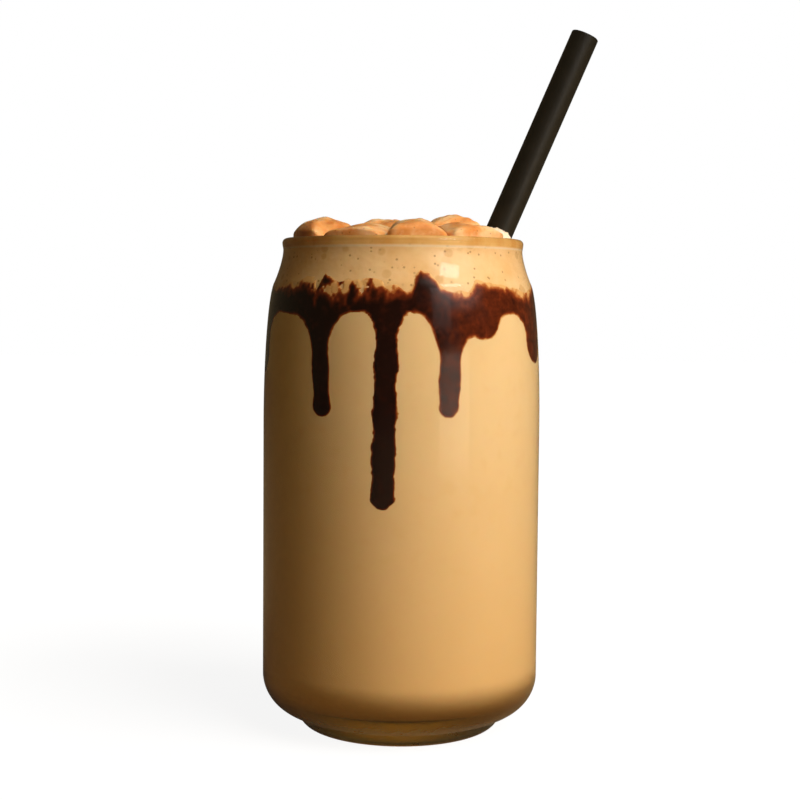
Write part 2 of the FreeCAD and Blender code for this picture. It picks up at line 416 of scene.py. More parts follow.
def milk_coffee():
    """Milky coffee: faint slow clouds, painted shade darkening it towards the bottom, a little
    light inside it.
    """
    paint, tree = new_paint("milk_coffee")
    swirl = cloud(tree, 22.0, 4.0, 0.6)
    fine = cloud(tree, 260.0, 2.0)
    body = ramp(tree, swirl, [(0.30, colour(240, 203, 150)), (0.70, colour(245, 211, 161))])
    # Painted shade: the colour darkens towards the bottom, where less light reaches the drink.
    painted_shade_low_down = rescaled(tree, height_of(tree), 85.0 * MM, 5.0 * MM, 0.0, 0.75)
    body = blend(tree, painted_shade_low_down, body, colour(228, 176, 106))
    shade = blend(tree, rescaled(tree, fine, 0.55, 0.8, 0.0, 0.25), body, colour(232, 186, 124))
    liquid = node(tree, "ShaderNodeBsdfPrincipled", {
        "Base Color": shade, "Roughness": 0.45, "IOR": 1.34, "Specular IOR Level": 0.0,
        "Subsurface Weight": 0.25, "Subsurface Radius": (1.0, 0.55, 0.25),
        "Subsurface Scale": 4.0 * MM, "Normal": bumped(tree, swirl, 0.05, 0.3)})
    finish_paint(tree, liquid.outputs[0])
    return paint


def froth_paint():
    """Foam: two tones in soft patches, fine dark pores, and discs and rings of larger bubbles.

    The piece's own field "white" turns it to clean white foam and paints a highlight line along the
    wall; "film" turns it to a brown stain.
    """
    paint, tree = new_paint("tan_froth")
    pale = colour(247, 208, 158)
    patch = cloud(tree, 90.0, 4.0, 0.6)
    near, own = cells(tree, 620.0)
    wide, wide_own = cells(tree, 260.0)
    tone = ramp(tree, patch, [(0.32, colour(234, 186, 128)), (0.68, pale)])
    pore = maths(tree, "MULTIPLY", rescaled(tree, near, 0.25, 0.14),
                 rescaled(tree, own, 0.42, 0.60))
    ring_in = rescaled(tree, wide, 0.30, 0.36)
    ring_out = rescaled(tree, wide, 0.46, 0.40)
    ring = maths(tree, "MULTIPLY", maths(tree, "MULTIPLY", ring_in, ring_out),
                 rescaled(tree, wide_own, 0.45, 0.6))
    disc = maths(tree, "MULTIPLY", rescaled(tree, wide, 0.42, 0.26),
                 rescaled(tree, wide_own, 0.50, 0.66))
    tone = blend(tree, maths(tree, "MULTIPLY", disc, 0.42), tone, colour(206, 150, 86))
    tone = blend(tree, maths(tree, "MULTIPLY", ring, 0.35), tone, pale)
    tone = blend(tree, maths(tree, "MULTIPLY", pore, 0.6, True), tone, colour(150, 96, 46))
    film = node(tree, "ShaderNodeAttribute", attribute_name="film").outputs["Fac"]
    stain = ramp(tree, cloud(tree, 160.0, 3.0), [(0.35, colour(214, 153, 74)),
                                                 (0.65, colour(230, 181, 108))])
    tone = blend(tree, maths(tree, "MULTIPLY", film, 0.85), tone, stain)
    # White foam, and along the wall a painted highlight line.
    white = node(tree, "ShaderNodeAttribute", attribute_name="white").outputs["Fac"]
    tone = blend(tree, white, tone, colour(234, 210, 182))
    relief = maths(tree, "ADD", maths(tree, "MULTIPLY", near, 0.6), patch)
    foam = node(tree, "ShaderNodeBsdfPrincipled", {
        "Base Color": tone, "Roughness": 0.6, "Specular IOR Level": 0.12,
        "Subsurface Weight": 0.2, "Subsurface Radius": (1.0, 0.6, 0.3),
        "Subsurface Scale": 2.5 * MM, "Normal": bumped(tree, relief, 0.18, 0.3)})
    finish_paint(tree, foam.outputs[0])
    return paint


def sauce_paint():
    """Chocolate sauce: near black where it is thick, orange brown where it thins out.

    The piece's field "depth" is 0 at its thinnest and 1 where it is full.
    """
    paint, tree = new_paint("chocolate_sauce")
    depth = node(tree, "ShaderNodeAttribute", attribute_name="depth").outputs["Fac"]
    grain = cloud(tree, 420.0, 4.0, 0.65)
    smear = cloud(tree, 150.0, 3.0, 0.6)
    uneven = maths(tree, "ADD", depth, rescaled(tree, grain, 0.3, 0.7, -0.16, 0.16))
    shade = ramp(tree, uneven, [
        (0.05, colour(228, 176, 112)), (0.20, colour(184, 104, 50)), (0.38, colour(124, 48, 20)),
        (0.60, colour(84, 30, 9)), (0.80, colour(48, 13, 4)), (0.97, colour(26, 4, 2))])
    sauce = node(tree, "ShaderNodeBsdfPrincipled", {
        "Base Color": shade, "Roughness": rescaled(tree, smear, 0.3, 0.7, 0.28, 0.5),
        "Specular IOR Level": 0.03, "Normal": bumped(tree, smear, 0.1, 0.3)})
    finish_paint(tree, sauce.outputs[0])
    return paint


def ice_paint():
    """Ice lumps under a wet coat of coffee froth: orange tan with pale and brown patches, fine pale
    flecks painted as soft highlights, and painted shade towards each lump's edge.
    """
    paint, tree = new_paint("coated_ice")
    patch = cloud(tree, 110.0, 4.0, 0.6)
    fine = cloud(tree, 420.0, 4.0, 0.6)
    near, own = cells(tree, 900.0)
    tone = ramp(tree, patch, [(0.32, colour(204, 122, 58)), (0.48, colour(229, 156, 88)),
                              (0.64, colour(245, 202, 146))])
    # Painted shade: the field "low" darkens each lump towards its edge, in the creases between
    # lumps.
    low = node(tree, "ShaderNodeAttribute", attribute_name="low").outputs["Fac"]
    tone = blend(tree, maths(tree, "MULTIPLY", low, 0.35), tone, colour(186, 112, 52))
    # Painted highlight: fine pale flecks stand in for soft gleams on the wet coat.
    tone = blend(tree, rescaled(tree, fine, 0.55, 0.75, 0.0, 0.35), tone, colour(246, 206, 158))
    pore = maths(tree, "MULTIPLY", rescaled(tree, near, 0.26, 0.14),
                 rescaled(tree, own, 0.55, 0.65))
    tone = blend(tree, maths(tree, "MULTIPLY", pore, 0.5), tone, colour(140, 78, 32))
    relief = maths(tree, "ADD", patch, maths(tree, "MULTIPLY", fine, 0.35))
    lump = node(tree, "ShaderNodeBsdfPrincipled", {
        "Base Color": tone, "Roughness": 0.34, "IOR": 1.33,
        "Subsurface Weight": 0.3, "Subsurface Radius": (1.0, 0.5, 0.22),
        "Subsurface Scale": 3.0 * MM, "Coat Weight": 0.22, "Coat Roughness": 0.22,
        "Normal": bumped(tree, relief, 0.4, 0.5)})
    finish_paint(tree, lump.outputs[0])
    return paint


def straw_paint():
    """Satin black plastic with fine lengthwise drawing lines."""
    paint, tree = new_paint("black_straw")
    uv = node(tree, "ShaderNodeUVMap", uv_map="along").outputs["UV"]
    stretched = node(tree, "ShaderNodeMapping", {"Vector": uv, "Scale": (90.0, 3.0, 1.0)})
    line = cloud(tree, 1.0, 3.0, 0.6, stretched.outputs[0])
    dust = cloud(tree, 300.0, 3.0)
    shade = ramp(tree, dust, [(0.35, colour(12, 9, 4)), (0.75, colour(21, 16, 9))])
    plastic = node(tree, "ShaderNodeBsdfPrincipled", {
        "Base Color": shade, "Roughness": rescaled(tree, line, 0.3, 0.7, 0.40, 0.54),
        "Specular IOR Level": 1.0, "Normal": bumped(tree, line, 0.12, 0.1)})
    finish_paint(tree, plastic.outputs[0])
    return paint


GLASS_PAINT = clear_glass()
COFFEE_PAINT = milk_coffee()
FROTH_PAINT = froth_paint()
SAUCE_PAINT = sauce_paint()
ICE_PAINT = ice_paint()
STRAW_PAINT = straw_paint()


# ---------------------------------------------------------------- glass and drink

def make_glass():
    """The glass's closed profile carried round the axis: hollow foot, heel, wall, lip, floor."""
    bend = (HOLLOW_RADIUS ** 2 + HOLLOW_RISE ** 2) / (2 * HOLLOW_RISE)
    across = np.linspace(0, HOLLOW_RADIUS, 14)
    hollow = np.stack([across, HOLLOW_RISE - bend + np.sqrt(bend ** 2 - across ** 2)], -1)
    lip_turn = np.linspace(0, math.pi, 24)
    lip = np.stack([MOUTH_RADIUS + LIP_RADIUS + LIP_RADIUS * np.cos(lip_turn),
                    LIP_MIDDLE + LIP_RADIUS * np.sin(lip_turn)], -1)
    lip_side = NECK_RADIUS + LIP_PROUD
    lip_foot = bezier([(NECK_RADIUS, NECK_FOOT), (NECK_RADIUS, 129.9),
                       (lip_side, 130.65), (lip_side, LIP_MIDDLE)], 10)
    outside = joined(
        hollow,
        straight((HOLLOW_RADIUS, 0), (FOOT_RADIUS, 0), 3),
        arc_up((FOOT_RADIUS, 0), HEEL_FOOT, 14),
        arc_up(HEEL_FOOT, (BODY_RADIUS, HEEL_TOP), 30),
        straight((BODY_RADIUS, HEEL_TOP), (BODY_RADIUS, SHOULDER_FOOT), 30),
        shoulder_and_neck(0),
        lip_foot,
        lip,
    )
    inside = inner_wall(WALL, LIP_MIDDLE)[::-1]
    floor = straight((BODY_RADIUS - WALL - FLOOR_CORNER, FLOOR_HEIGHT), (0, FLOOR_HEIGHT), 12)
    profile = eased(joined(outside, inside, floor), 0.35)
    points, faces = turned(profile, 240)
    return mesh_piece("glass_wall", points, faces, GLASS_PAINT)


def make_drink():
    """The drink: the inner profile, a hair into the glass, closed by a level top under froth."""
    inset = WALL - DRINK_BITE
    side = inner_wall(inset, LIP_MIDDLE)
    side = side[side[:, 1] < FROTH_FOOT + DRINK_RISE]
    top = side[-1]
    low = side[0]
    profile = joined(straight((0, low[1]), low, 10), side, straight(top, (0, top[1]), 8))
    points, faces = turned(profile, 180)
    return mesh_piece("milk_coffee_drink", points, faces, COFFEE_PAINT)


# ---------------------------------------------------------------- lumps and froth

ICE_LUMPS = [  # place to the right and back, in mouth radii, rise above the rim, two slopes
    (-0.75, -0.30, 5.2, 0.05, 0.08), (-0.30, -0.68, 3.0, 0.08, 0.12),
    (0.15, -0.72, 4.4, -0.05, 0.10), (0.58, -0.57, 3.6, -0.10, 0.10),
    (-0.10, -0.22, 5.2, -0.02, 0.02), (0.43, -0.13, 6.4, 0.03, -0.06),
    (-0.65, 0.32, 4.6, -0.08, 0.06), (-0.13, 0.31, 5.2, 0.10, -0.08),
    (0.34, 0.38, 4.4, -0.10, 0.08), (-0.37, 0.78, 3.8, 0.06, -0.12),
    (0.15, 0.83, 4.2, 0.10, -0.10), (0.60, 0.68, 3.4, -0.12, -0.10),
]
STRAW_PLACE = (0.86, 0.10)
LUMP_BOTTOM = 121.5
LUMP_GAP = 0.15
LUMP_MIDDLES = np.array([lump[:2] for lump in ICE_LUMPS] + [STRAW_PLACE]) * MOUTH_RADIUS


def lump_outline(number, way_x, way_y, at_wall=True):
    """A lump's reach from its middle along a level direction, a polygon with rounded corners.

    It is (sum of (d.n / h)^7)^(-1/7) over the half-way lines to its neighbours and, with
    at_wall, three lines along the wall, with directions n and distances h.
    """
    own = LUMP_MIDDLES[number]
    gaps = np.delete(LUMP_MIDDLES, number, axis=0) - own
    apart = np.linalg.norm(gaps, axis=1)
    near = apart < 1.25 * MOUTH_RADIUS
    ways = gaps[near] / apart[near, None]
    reaches = apart[near] / 2 - LUMP_GAP / 2
    facing = math.atan2(own[1], own[0]) + np.radians([-26.0, 0.0, 26.0])
    wall_ways = np.stack([np.cos(facing), np.sin(facing)], -1)
    room = (MOUTH_RADIUS - 0.4) * math.cos(math.radians(7.0)) - wall_ways @ own
    if at_wall:
        ways = np.vstack([ways, wall_ways])
        reaches = np.concatenate([reaches, np.maximum(room, 1.5)])
    share = np.maximum(way_x[..., None] * ways[:, 0] + way_y[..., None] * ways[:, 1], 0.0)
    return (((share / reaches) ** 7).sum(-1) + 1e-14) ** (-1.0 / 7)


def lump_top(number, x, y):
    """A lump's upper face and the share of the way to its outline.

    The face is a slanting plane less drop * (share of the way to a neighbour)^2.2, uneven by
    slow ripples, and held under an envelope that rounds the whole heap down to the rim.
    """
    own = LUMP_MIDDLES[number]
    rise, slope_x, slope_y = ICE_LUMPS[number][2:]
    dx = x - own[0]
    dy = y - own[1]
    far = np.maximum(np.hypot(dx, dy), 1e-6)
    share = far / lump_outline(number, dx / far, dy / far)
    out = np.clip(np.hypot(x, y) / MOUTH_RADIUS, 0, 1)
    inward = far / lump_outline(number, dx / far, dy / far, at_wall=False)
    drop = max(1.5, rise - 2.2) + 1.6 * np.clip((out - 0.7) / 0.25, 0, 1)
    spot = np.stack([x, y, np.full_like(x, 10.0 * number)], -1)
    top = GLASS_HEIGHT + rise + slope_x * dx + slope_y * dy - drop * inward ** 2.2
    top = top + 0.34 * ripple(spot, 7.0, 40 + number) + 0.12 * ripple(spot, 2.6, 60 + number)
    envelope = 132.2 + 9.0 * (1 - out ** 3) ** 0.55
    ease = np.clip(0.5 + 0.5 * (envelope - top) / 1.2, 0, 1)
    return envelope * (1 - ease) + top * ease - 1.2 * ease * (1 - ease), share


def make_lump(number):
    """One lump: rings over its upper face, a rounded shoulder, a side and a flat underside."""
    columns = 132
    turn = np.arange(columns) * 2 * math.pi / columns
    way_x, way_y = np.cos(turn), np.sin(turn)
    outline = lump_outline(number, way_x, way_y)
    own = LUMP_MIDDLES[number]

    def ring(share, below, level):
        x = own[0] + way_x * outline * share
        y = own[1] + way_y * outline * share
        height = lump_top(number, x, y)[0] - below if level is None else np.full(columns, level)
        return np.stack([x, y, height], -1)

    rings = [ring(share, 0.0, None) for share in np.linspace(0.02, 0.97, 44)]
    for bend in np.linspace(0.12, 1.0, 7):
        angle = bend * math.pi / 2
        rings.append(ring(0.97 + 0.03 * math.sin(angle), 0.45 * (1 - math.cos(angle)), None))
    edge = rings[-1]
    for share in np.linspace(0.15, 0.85, 7):
        middle = edge.copy()
        middle[:, 2] = edge[:, 2] * (1 - share) + LUMP_BOTTOM * share
        rings.append(middle)
    for share in (0.97, 0.9, 0.6, 0.2):
        rings.append(ring(share, 0.0, LUMP_BOTTOM if share < 0.95 else LUMP_BOTTOM + 0.5))
    crown = lump_top(number, own[:1], own[1:])[0][0]
    points, faces = capped(np.array(rings), (own[0], own[1], crown),
                           (own[0], own[1], LUMP_BOTTOM))
    share = lump_top(number, points[:, 0], points[:, 1])[1]
    # Painted shade: low grows towards the lump's outline, where it meets its neighbours.
    low = np.clip((share - 0.78) / 0.24, 0, 1) ** 1.5
    name = "coated_ice_%02d" % (number + 1)
    return mesh_piece(name, points, faces, ICE_PAINT, fields={"low": low})


BUBBLE_TRIES = 2600
EDGE_BUBBLES = 150
MOUND_RADIUS = 5.8
MOUND_PLACE = round_the_glass(84.0, MOUTH_RADIUS - MOUND_RADIUS, 130.3)
HIGHLIGHT_LINE = 129.95
STAIN_FOOT = 130.2
STAIN_RADIUS = 28.6


def froth_height(x, y):
    """The froth's top: a film up to the lip, a low dome with soft bumps, and the white mound."""
    spot = np.stack([x, y, np.zeros_like(x)], -1)
    out = np.clip(np.hypot(x, y) / MOUTH_RADIUS, 0, 1)
    film = 0.5 * np.exp(-((1 - out) * MOUTH_RADIUS / 0.5) ** 2)
    base = 131.3 + 3.2 * (1 - out ** 6) + film
    bumps = 0.40 * ripple(spot, 5.0, 5) + 0.16 * ripple(spot, 1.8, 6)
    base = base + bumps * np.clip((1.0 - out) * 8, 0.1, 1)
    far = np.hypot(x - MOUND_PLACE[0], y - MOUND_PLACE[1])
    hill = MOUND_PLACE[2] + np.sqrt(np.clip(MOUND_RADIUS ** 2 - far ** 2, 0, None))
    hill = hill - 0.35 + 0.24 * ripple(spot, 2.9, 9) + 0.08 * ripple(spot, 1.2, 10)
    return np.where(far < MOUND_RADIUS, np.maximum(base, hill), base)


def make_froth():
    """The froth: flat under, its side in the wall's face, its top froth_height over a disc.

    A thin pale line, a painted highlight, runs along the wall, and the film above it is stained
    brown.
    """
    columns = 300
    angle = np.arange(columns) * 360.0 / columns
    bottom = FROTH_FOOT - FROTH_SINK
    side_height = np.linspace(bottom, FROTH_EDGE + FROTH_LAP, 60)
    side_radius = wall_radius(side_height) + FROTH_BITE
    above = np.clip(side_height - LIP_MIDDLE, 0, None)
    side_radius += LIP_RADIUS - np.sqrt(LIP_RADIUS ** 2 - above ** 2)
    under = round_the_glass(angle[None], np.linspace(2, side_radius[0] - 0.5, 8)[:, None], bottom)
    side = round_the_glass(angle[None], side_radius[:, None], side_height[:, None])
    reach = np.sqrt(np.linspace(0.997, 0.0004, 110))[:, None] * MOUTH_RADIUS
    top = round_the_glass(angle[None], reach, 0.0)
    top[..., 2] = froth_height(top[..., 0], top[..., 1])
    rings = np.vstack([under, side, top])
    crown = froth_height(np.array([0.0]), np.array([0.0]))[0]
    points, faces = capped(rings, (0, 0, bottom), (0, 0, crown))
    far = np.hypot(points[:, 0] - MOUND_PLACE[0], points[:, 1] - MOUND_PLACE[1])
    white = np.clip((6.6 - far) / 1.8, 0, 1) * (points[:, 2] > 132.0)
    out = np.hypot(points[:, 0], points[:, 1])
    at_wall = out > MOUTH_RADIUS - 0.4
    # Painted highlight: a pale line along the wall just under the lip.
    line = 0.8 * np.exp(-((points[:, 2] - HIGHLIGHT_LINE) / 0.28) ** 2) * at_wall
    stained = np.clip((points[:, 2] - STAIN_FOOT) / 0.3, 0, 1)
    film = stained * np.clip((out - STAIN_RADIUS) / 1.2, 0, 1)
    return mesh_piece("froth_layer", points, faces, FROTH_PAINT,
                      fields={"white": np.maximum(white, line), "film": film})


def heap_height(x, y):
    """The highest of the froth and the lumps at each place, and how near a lump's edge it is."""
    height = froth_height(x, y)
    edge = np.ones_like(x)
    for number in range(len(ICE_LUMPS)):
        top, share = lump_top(number, x, y)
        over = share < 1.0
        edge = np.where(over, share, edge)
        height = np.where(over, np.maximum(height, top), height)
    return height, edge


def make_bubbles():
    """Small round bubbles: in the valleys of the heap, on the white mound and along the wall.

    One ball of a few dozen faces is set at every place as one array, its middle a tenth of
    its radius below the surface.
    """
    draw = np.random.default_rng(12)
    spread = np.sqrt(draw.uniform(0, 0.93, BUBBLE_TRIES)) * MOUTH_RADIUS
    turn = draw.uniform(0, 2 * math.pi, BUBBLE_TRIES)
    x, y = spread * np.cos(turn), spread * np.sin(turn)
    size = 0.18 + 0.34 * draw.uniform(0, 1, BUBBLE_TRIES) ** 2
    height, edge = heap_height(x, y)
    far = np.hypot(x - MOUND_PLACE[0], y - MOUND_PLACE[1])
    valley = (edge > 0.93) & (draw.uniform(0, 1, BUBBLE_TRIES) < 0.5)
    valley = valley & (spread < MOUTH_RADIUS - 6.5)
    mound = (far < MOUND_RADIUS - 0.6) & (draw.uniform(0, 1, BUBBLE_TRIES) < 0.35)
    size = np.where(mound, size * 0.9, size * 0.8)
    ring_turn = draw.uniform(0, 360, EDGE_BUBBLES)
    ring_size = 0.12 + 0.14 * draw.uniform(0, 1, EDGE_BUBBLES) ** 2
    ring = round_the_glass(ring_turn, MOUTH_RADIUS - 0.25 - ring_size * 1.3, 0.0)
    ring[:, 2] = froth_height(ring[:, 0], ring[:, 1])
    keep = valley | mound
    centres = np.vstack([np.stack([x, y, height], -1)[keep], ring])
    sizes = np.concatenate([size[keep], ring_size])
    centres[:, 2] -= sizes * 0.1
    rows, columns = 5, 9
    polar = np.linspace(0, math.pi, rows + 2)[1:-1]
    around = np.arange(columns) * 2 * math.pi / columns
    polar, around = np.meshgrid(polar, around, indexing="ij")
    rings = np.stack([np.sin(polar) * np.cos(around), np.sin(polar) * np.sin(around),
                      np.cos(polar)], -1)
    ball, faces = capped(rings, (0, 0, 1), (0, 0, -1))
    points = centres[:, None] + ball[None] * sizes[:, None, None]
    offsets = np.arange(len(centres))[:, None, None] * len(ball)
    all_faces = (faces[None] + offsets).reshape(-1, 4)
    white = np.repeat(np.where(far[keep] < MOUND_RADIUS, 0.8, 0.2), len(ball))
    white = np.concatenate([white, np.full(EDGE_BUBBLES * len(ball), 0.2)])
    return mesh_piece("froth_bubbles", points.reshape(-1, 3), all_faces, FROTH_PAINT,
                      fields={"white": white})


# ---------------------------------------------------------------- sauce

DRIPS = [  # angle at the band, angle at the tip, half width, height of the tip, fillet
    (-80.0, -79.0, 4.2, 96.5, 8.5), (-34.2, -31.0, 2.5, 86.8, 8.0),
    (-3.2, -4.6, 2.9, 64.0, 5.0), (24.0, 22.0, 2.7, 87.0, 11.5),
    (39.5, 40.5, 3.3, 106.9, 7.0), (76.5, 77.5, 5.2, 99.6, 8.5),
    (104.0, 103.0, 3.2, 82.0, 8.5), (128.0, 129.0, 3.0, 92.0, 8.5),
    (152.0, 151.0, 3.2, 70.0, 8.5), (179.0, 180.0, 3.5, 99.0, 8.5),
    (204.0, 205.5, 3.3, 78.0, 8.5), (229.0, 228.0, 2.9, 90.0, 8.5),
    (254.0, 254.0, 3.5, 104.0, 8.5),
]
BAND_EDGE = 114.4
SAUCE_NET_LOW = 62.0
SAUCE_NET_TOP = 125.2
SAUCE_NET_STEP = 0.36
NOISE_LOW = 60.0
NOISE_SPAN = 66.0
ARCHES = [  # angle, height that the band's lower edge would have with no drips
    (-180, 114.2), (-120, 113.6), (-90, 114.4), (-50, 112.3), (-18, 113.3), (2, 114.0), (14, 114.6),
    (33, 115.4), (55, 112.9), (80, 113.6), (116, 114.8), (140, 113.2), (180, 114.2),
]
TOP_EDGE = [  # angle, height of the sauce's upper edge
    (-180, 120.2), (-165, 119.4), (-150, 121.0), (-138, 119.6), (-120, 120.4), (-100, 119.3),
    (-85, 120.6), (-72, 119.5), (-52, 119.5), (-45, 121.3), (-39, 121.6), (-37, 118.2),
    (-34.5, 122.0), (-32, 121.4), (-26, 120.2), (-17, 121.4), (-10, 121.5), (-6, 121.0),
    (-4.5, 119.3), (5, 118.8), (7, 119.6), (8.5, 122.2), (10.5, 123.5), (14, 122.9),
    (17, 121.3), (19, 119.6), (25, 118.4), (32, 118.4), (34.5, 120.2), (37, 121.2),
    (41, 120.2), (55, 120.2), (62, 119.0), (72, 118.6), (90, 120.4), (104, 119.0),
    (118, 121.2), (133, 119.4), (150, 120.8), (168, 119.2), (180, 120.2),
]


def wall_shares(angle, height):
    """A spot's share of the way round the wall, and of the way up the sauced part of it."""
    return np.mod(angle, 360.0) / 360.0, (height - NOISE_LOW) / NOISE_SPAN


def either_way(angle):
    """An angle brought into the span from -180 to 180 degrees."""
    return np.mod(angle + 180.0, 360.0) - 180.0


def sauce_depth(angle, height):
    """How far inside the sauce's outline a spot of the wall lies, in millimetres.

    A band between two edges, joined to upright drips with round tips by a smooth union,
    frayed by noise at its upper edge and pierced by small holes near it.  The second value
    is the depth below that edge.
    """
    around, up = wall_shares(angle, height)
    reach = BODY_RADIUS - WALL
    signed = either_way(angle)
    arches = np.array(ARCHES, float)
    edge = np.interp(signed, arches[:, 0], arches[:, 1])
    inside = (height - edge) * 0.62
    rough = 0.35 + 0.65 * np.exp(-((signed + 4.0) / 9.0) ** 4)
    nick = 0.26 * speckle(around, up, 190, 56, 11) + 0.16 * speckle(around, up, 420, 130, 12)
    for top_angle, tip_angle, half, tip, blend_by in DRIPS:
        share = np.clip((BAND_EDGE - height) / (BAND_EDGE - tip), 0, 1)
        middle = top_angle + (tip_angle - top_angle) * share
        across = np.radians(either_way(angle - middle)) * reach
        swell = half * (1.0 + 0.07 * np.sin(height * 0.55 + top_angle) - 0.06 * (1 - share))
        below = np.minimum(height - (tip + half), 0.0)
        drip = swell - np.hypot(across, below)
        drip = np.where(height > BAND_EDGE + 4, -20.0, drip)
        overlap = np.clip(0.5 + 0.5 * (drip - inside) / blend_by, 0, 1)
        inside = inside * (1 - overlap) + drip * overlap + blend_by * overlap * (1 - overlap)
    inside = inside + nick * rough
    table = np.array(TOP_EDGE, float)
    brim = np.interp(signed, table[:, 0], table[:, 1])
    fray = 0.75 * speckle(around, up, 64, 20, 21) + 0.22 * speckle(around, up, 170, 60, 22)
    upper = brim - height + fray
    loose = np.exp(-((signed + 25.0) / 23.0) ** 4) + np.exp(-((signed + 155.0) / 30.0) ** 4)
    holes = speckle(around, up, 120, 30, 41) + 0.7 * speckle(around, up, 300, 78, 42) + 0.75
    holes = 1.5 * holes + np.clip(118.2 - height, 0, 9) + 3.0 * (1 - loose)
    return np.minimum(np.minimum(inside, upper), holes), upper


def make_sauce():
    """The sauce as a coat on the wall, on a net of angles and heights.

    Its outer face stands proud of the drink by a fifth of the outline's depth, so that its
    edge is where the two cross, and cells well outside the outline are left out.
    """
    columns = 640
    heights = np.arange(SAUCE_NET_LOW, SAUCE_NET_TOP, SAUCE_NET_STEP)
    angle = np.arange(columns) * 360.0 / columns
    angle, height = np.meshgrid(angle, heights)
    depth, upper = sauce_depth(angle, height)
    around, up = wall_shares(angle, height)
    wall = wall_radius(height)
    proud = SAUCE_EDGE_BITE + np.clip(depth * 0.2, -0.4, SAUCE_BITE - SAUCE_EDGE_BITE)
    outer = wall + proud
    inner = wall - np.clip(0.35 + depth * 0.5, 0.25, 0.95)
    signed = either_way(angle)
    frayed = np.exp(-((signed + 25.0) / 20.0) ** 4)
    ragged_zone = 2.5 + 4.6 * frayed + 0.9 * speckle(around, up, 60, 12, 31)
    full = np.clip(upper / ragged_zone, 0, 1)
    blotch = speckle(around, up, 130, 26, 32) + 0.7 * speckle(around, up, 300, 60, 33)
    full = np.clip(full + (0.24 + 0.5 * frayed) * blotch * (1 - full) ** 0.7, 0, 1)
    full = full * np.clip(depth / 0.55 + 0.35, 0, 1)
    thinner = np.exp(-((signed - 55.0) / 42.0) ** 4) + np.exp(-((signed + 130.0) / 30.0) ** 4)
    full = full * (1 - 0.38 * thinner)
    kept = depth > -0.55
    cell = kept[:-1] & kept[1:]
    cell = cell & np.roll(cell, -1, axis=1)
    rows = len(heights)
    count = rows * columns
    quad = ring_faces(rows, columns)[cell.ravel()]
    back = quad[:, ::-1] + count
    edge = np.concatenate([quad[:, [k, (k + 1) % 4]] for k in range(4)])
    key = np.sort(edge, axis=1)
    _, where, tally = np.unique(key[:, 0] * count + key[:, 1], return_index=True,
                                return_counts=True)
    rim = edge[where[tally == 1]]
    rims = np.stack([rim[:, 1], rim[:, 0], rim[:, 0] + count, rim[:, 1] + count], -1)
    faces = np.vstack([quad, back, rims])
    points = np.vstack([round_the_glass(angle, outer, height).reshape(-1, 3),
                        round_the_glass(angle, inner, height).reshape(-1, 3)])
    used = np.zeros(len(points), bool)
    used[faces.ravel()] = True
    renumber = np.cumsum(used) - 1
    fields = {"depth": np.concatenate([full.ravel(), full.ravel()])[used]}
    return mesh_piece("chocolate_drips", points[used], renumber[faces], SAUCE_PAINT,
                      fields=fields)


# ---------------------------------------------------------------- straw

STRAW_RADIUS = 3.84
STRAW_WALL = 0.45
STRAW_LENGTH = 192.8
STRAW_GAP = 0.1
STRAW_FOOT_ANGLE = -86.0
STRAW_FOOT_INSET = 8.95
STRAW_LIP_ANGLE = 107.3


def straw_ends():
    """The foot of the straw's axis and its direction: it stands on the floor, leant on the lip.

    The lean and the two places settle each other, in four rounds.
    """
    inner = BODY_RADIUS - WALL
    foot = round_the_glass(STRAW_FOOT_ANGLE, inner - STRAW_FOOT_INSET, FLOOR_HEIGHT)
    lean = 0.0
    for _ in range(4):
        side = MOUTH_RADIUS + LIP_RADIUS * (1 - math.cos(lean)) - STRAW_GAP
        touch = LIP_MIDDLE + LIP_RADIUS * math.sin(lean)
        rest = round_the_glass(STRAW_LIP_ANGLE, side - STRAW_RADIUS / math.cos(lean), touch)
        along = (rest - foot) / np.linalg.norm(rest - foot)
        lean = math.acos(along[2])
        reach = math.hypot(foot[0], foot[1]) + STRAW_RADIUS * math.cos(lean)
        into = max(0.0, reach - (inner - FLOOR_CORNER))
        floor = FLOOR_HEIGHT + FLOOR_CORNER - math.sqrt(FLOOR_CORNER ** 2 - into ** 2)
        foot[2] = floor + STRAW_GAP + STRAW_RADIUS * math.sin(lean)
    return foot, along


def make_straw():
    """A tube: its closed wall outline, with rounded ends, carried round the leaning axis."""
    foot, along = straw_ends()
    side = np.cross(along, (0.0, 1.0, 0.0))
    side /= np.linalg.norm(side)
    across = np.cross(along, side)
    half = STRAW_WALL / 2
    turn = np.linspace(0, math.pi, 9)
    middle = STRAW_RADIUS - half
    steps = 90
    run = np.linspace(0.6, STRAW_LENGTH - 0.6, steps)
    top = np.stack([middle + half * np.cos(turn), STRAW_LENGTH - half + half * np.sin(turn)], -1)
    low = np.stack([middle - half * np.cos(turn), half - half * np.sin(turn)], -1)
    outside = np.stack([np.full(steps, STRAW_RADIUS), run], -1)
    inside = np.stack([np.full(steps, STRAW_RADIUS - STRAW_WALL), run[::-1]], -1)
    outline = np.vstack([outside, top, inside, low])
    columns = 64
    angle = np.arange(columns) * 2 * math.pi / columns
    radius = outline[:, :1] * np.ones(columns)
    length = outline[:, 1:] * np.ones(columns)
    wear = 0.03 * np.sin(3 * angle)[None] * (length > STRAW_LENGTH - 1)
    length = length + wear
    rings = (foot + along * length[..., None]
             + side * (radius * np.cos(angle))[..., None]
             + across * (radius * np.sin(angle))[..., None])
    rows = len(outline)
    faces = ring_faces(rows, columns)
    column = np.arange(columns)
    beside = (column + 1) % columns
    last = (rows - 1) * columns
    closing = np.stack([last + column, last + beside, beside, column], -1)
    uv = np.stack([np.broadcast_to(angle / (2 * math.pi), radius.shape).ravel(),
                   (length / STRAW_LENGTH).ravel()], -1)
    return mesh_piece("black_straw", rings.reshape(-1, 3), np.vstack([faces, closing]),
                      STRAW_PAINT, uv=uv)


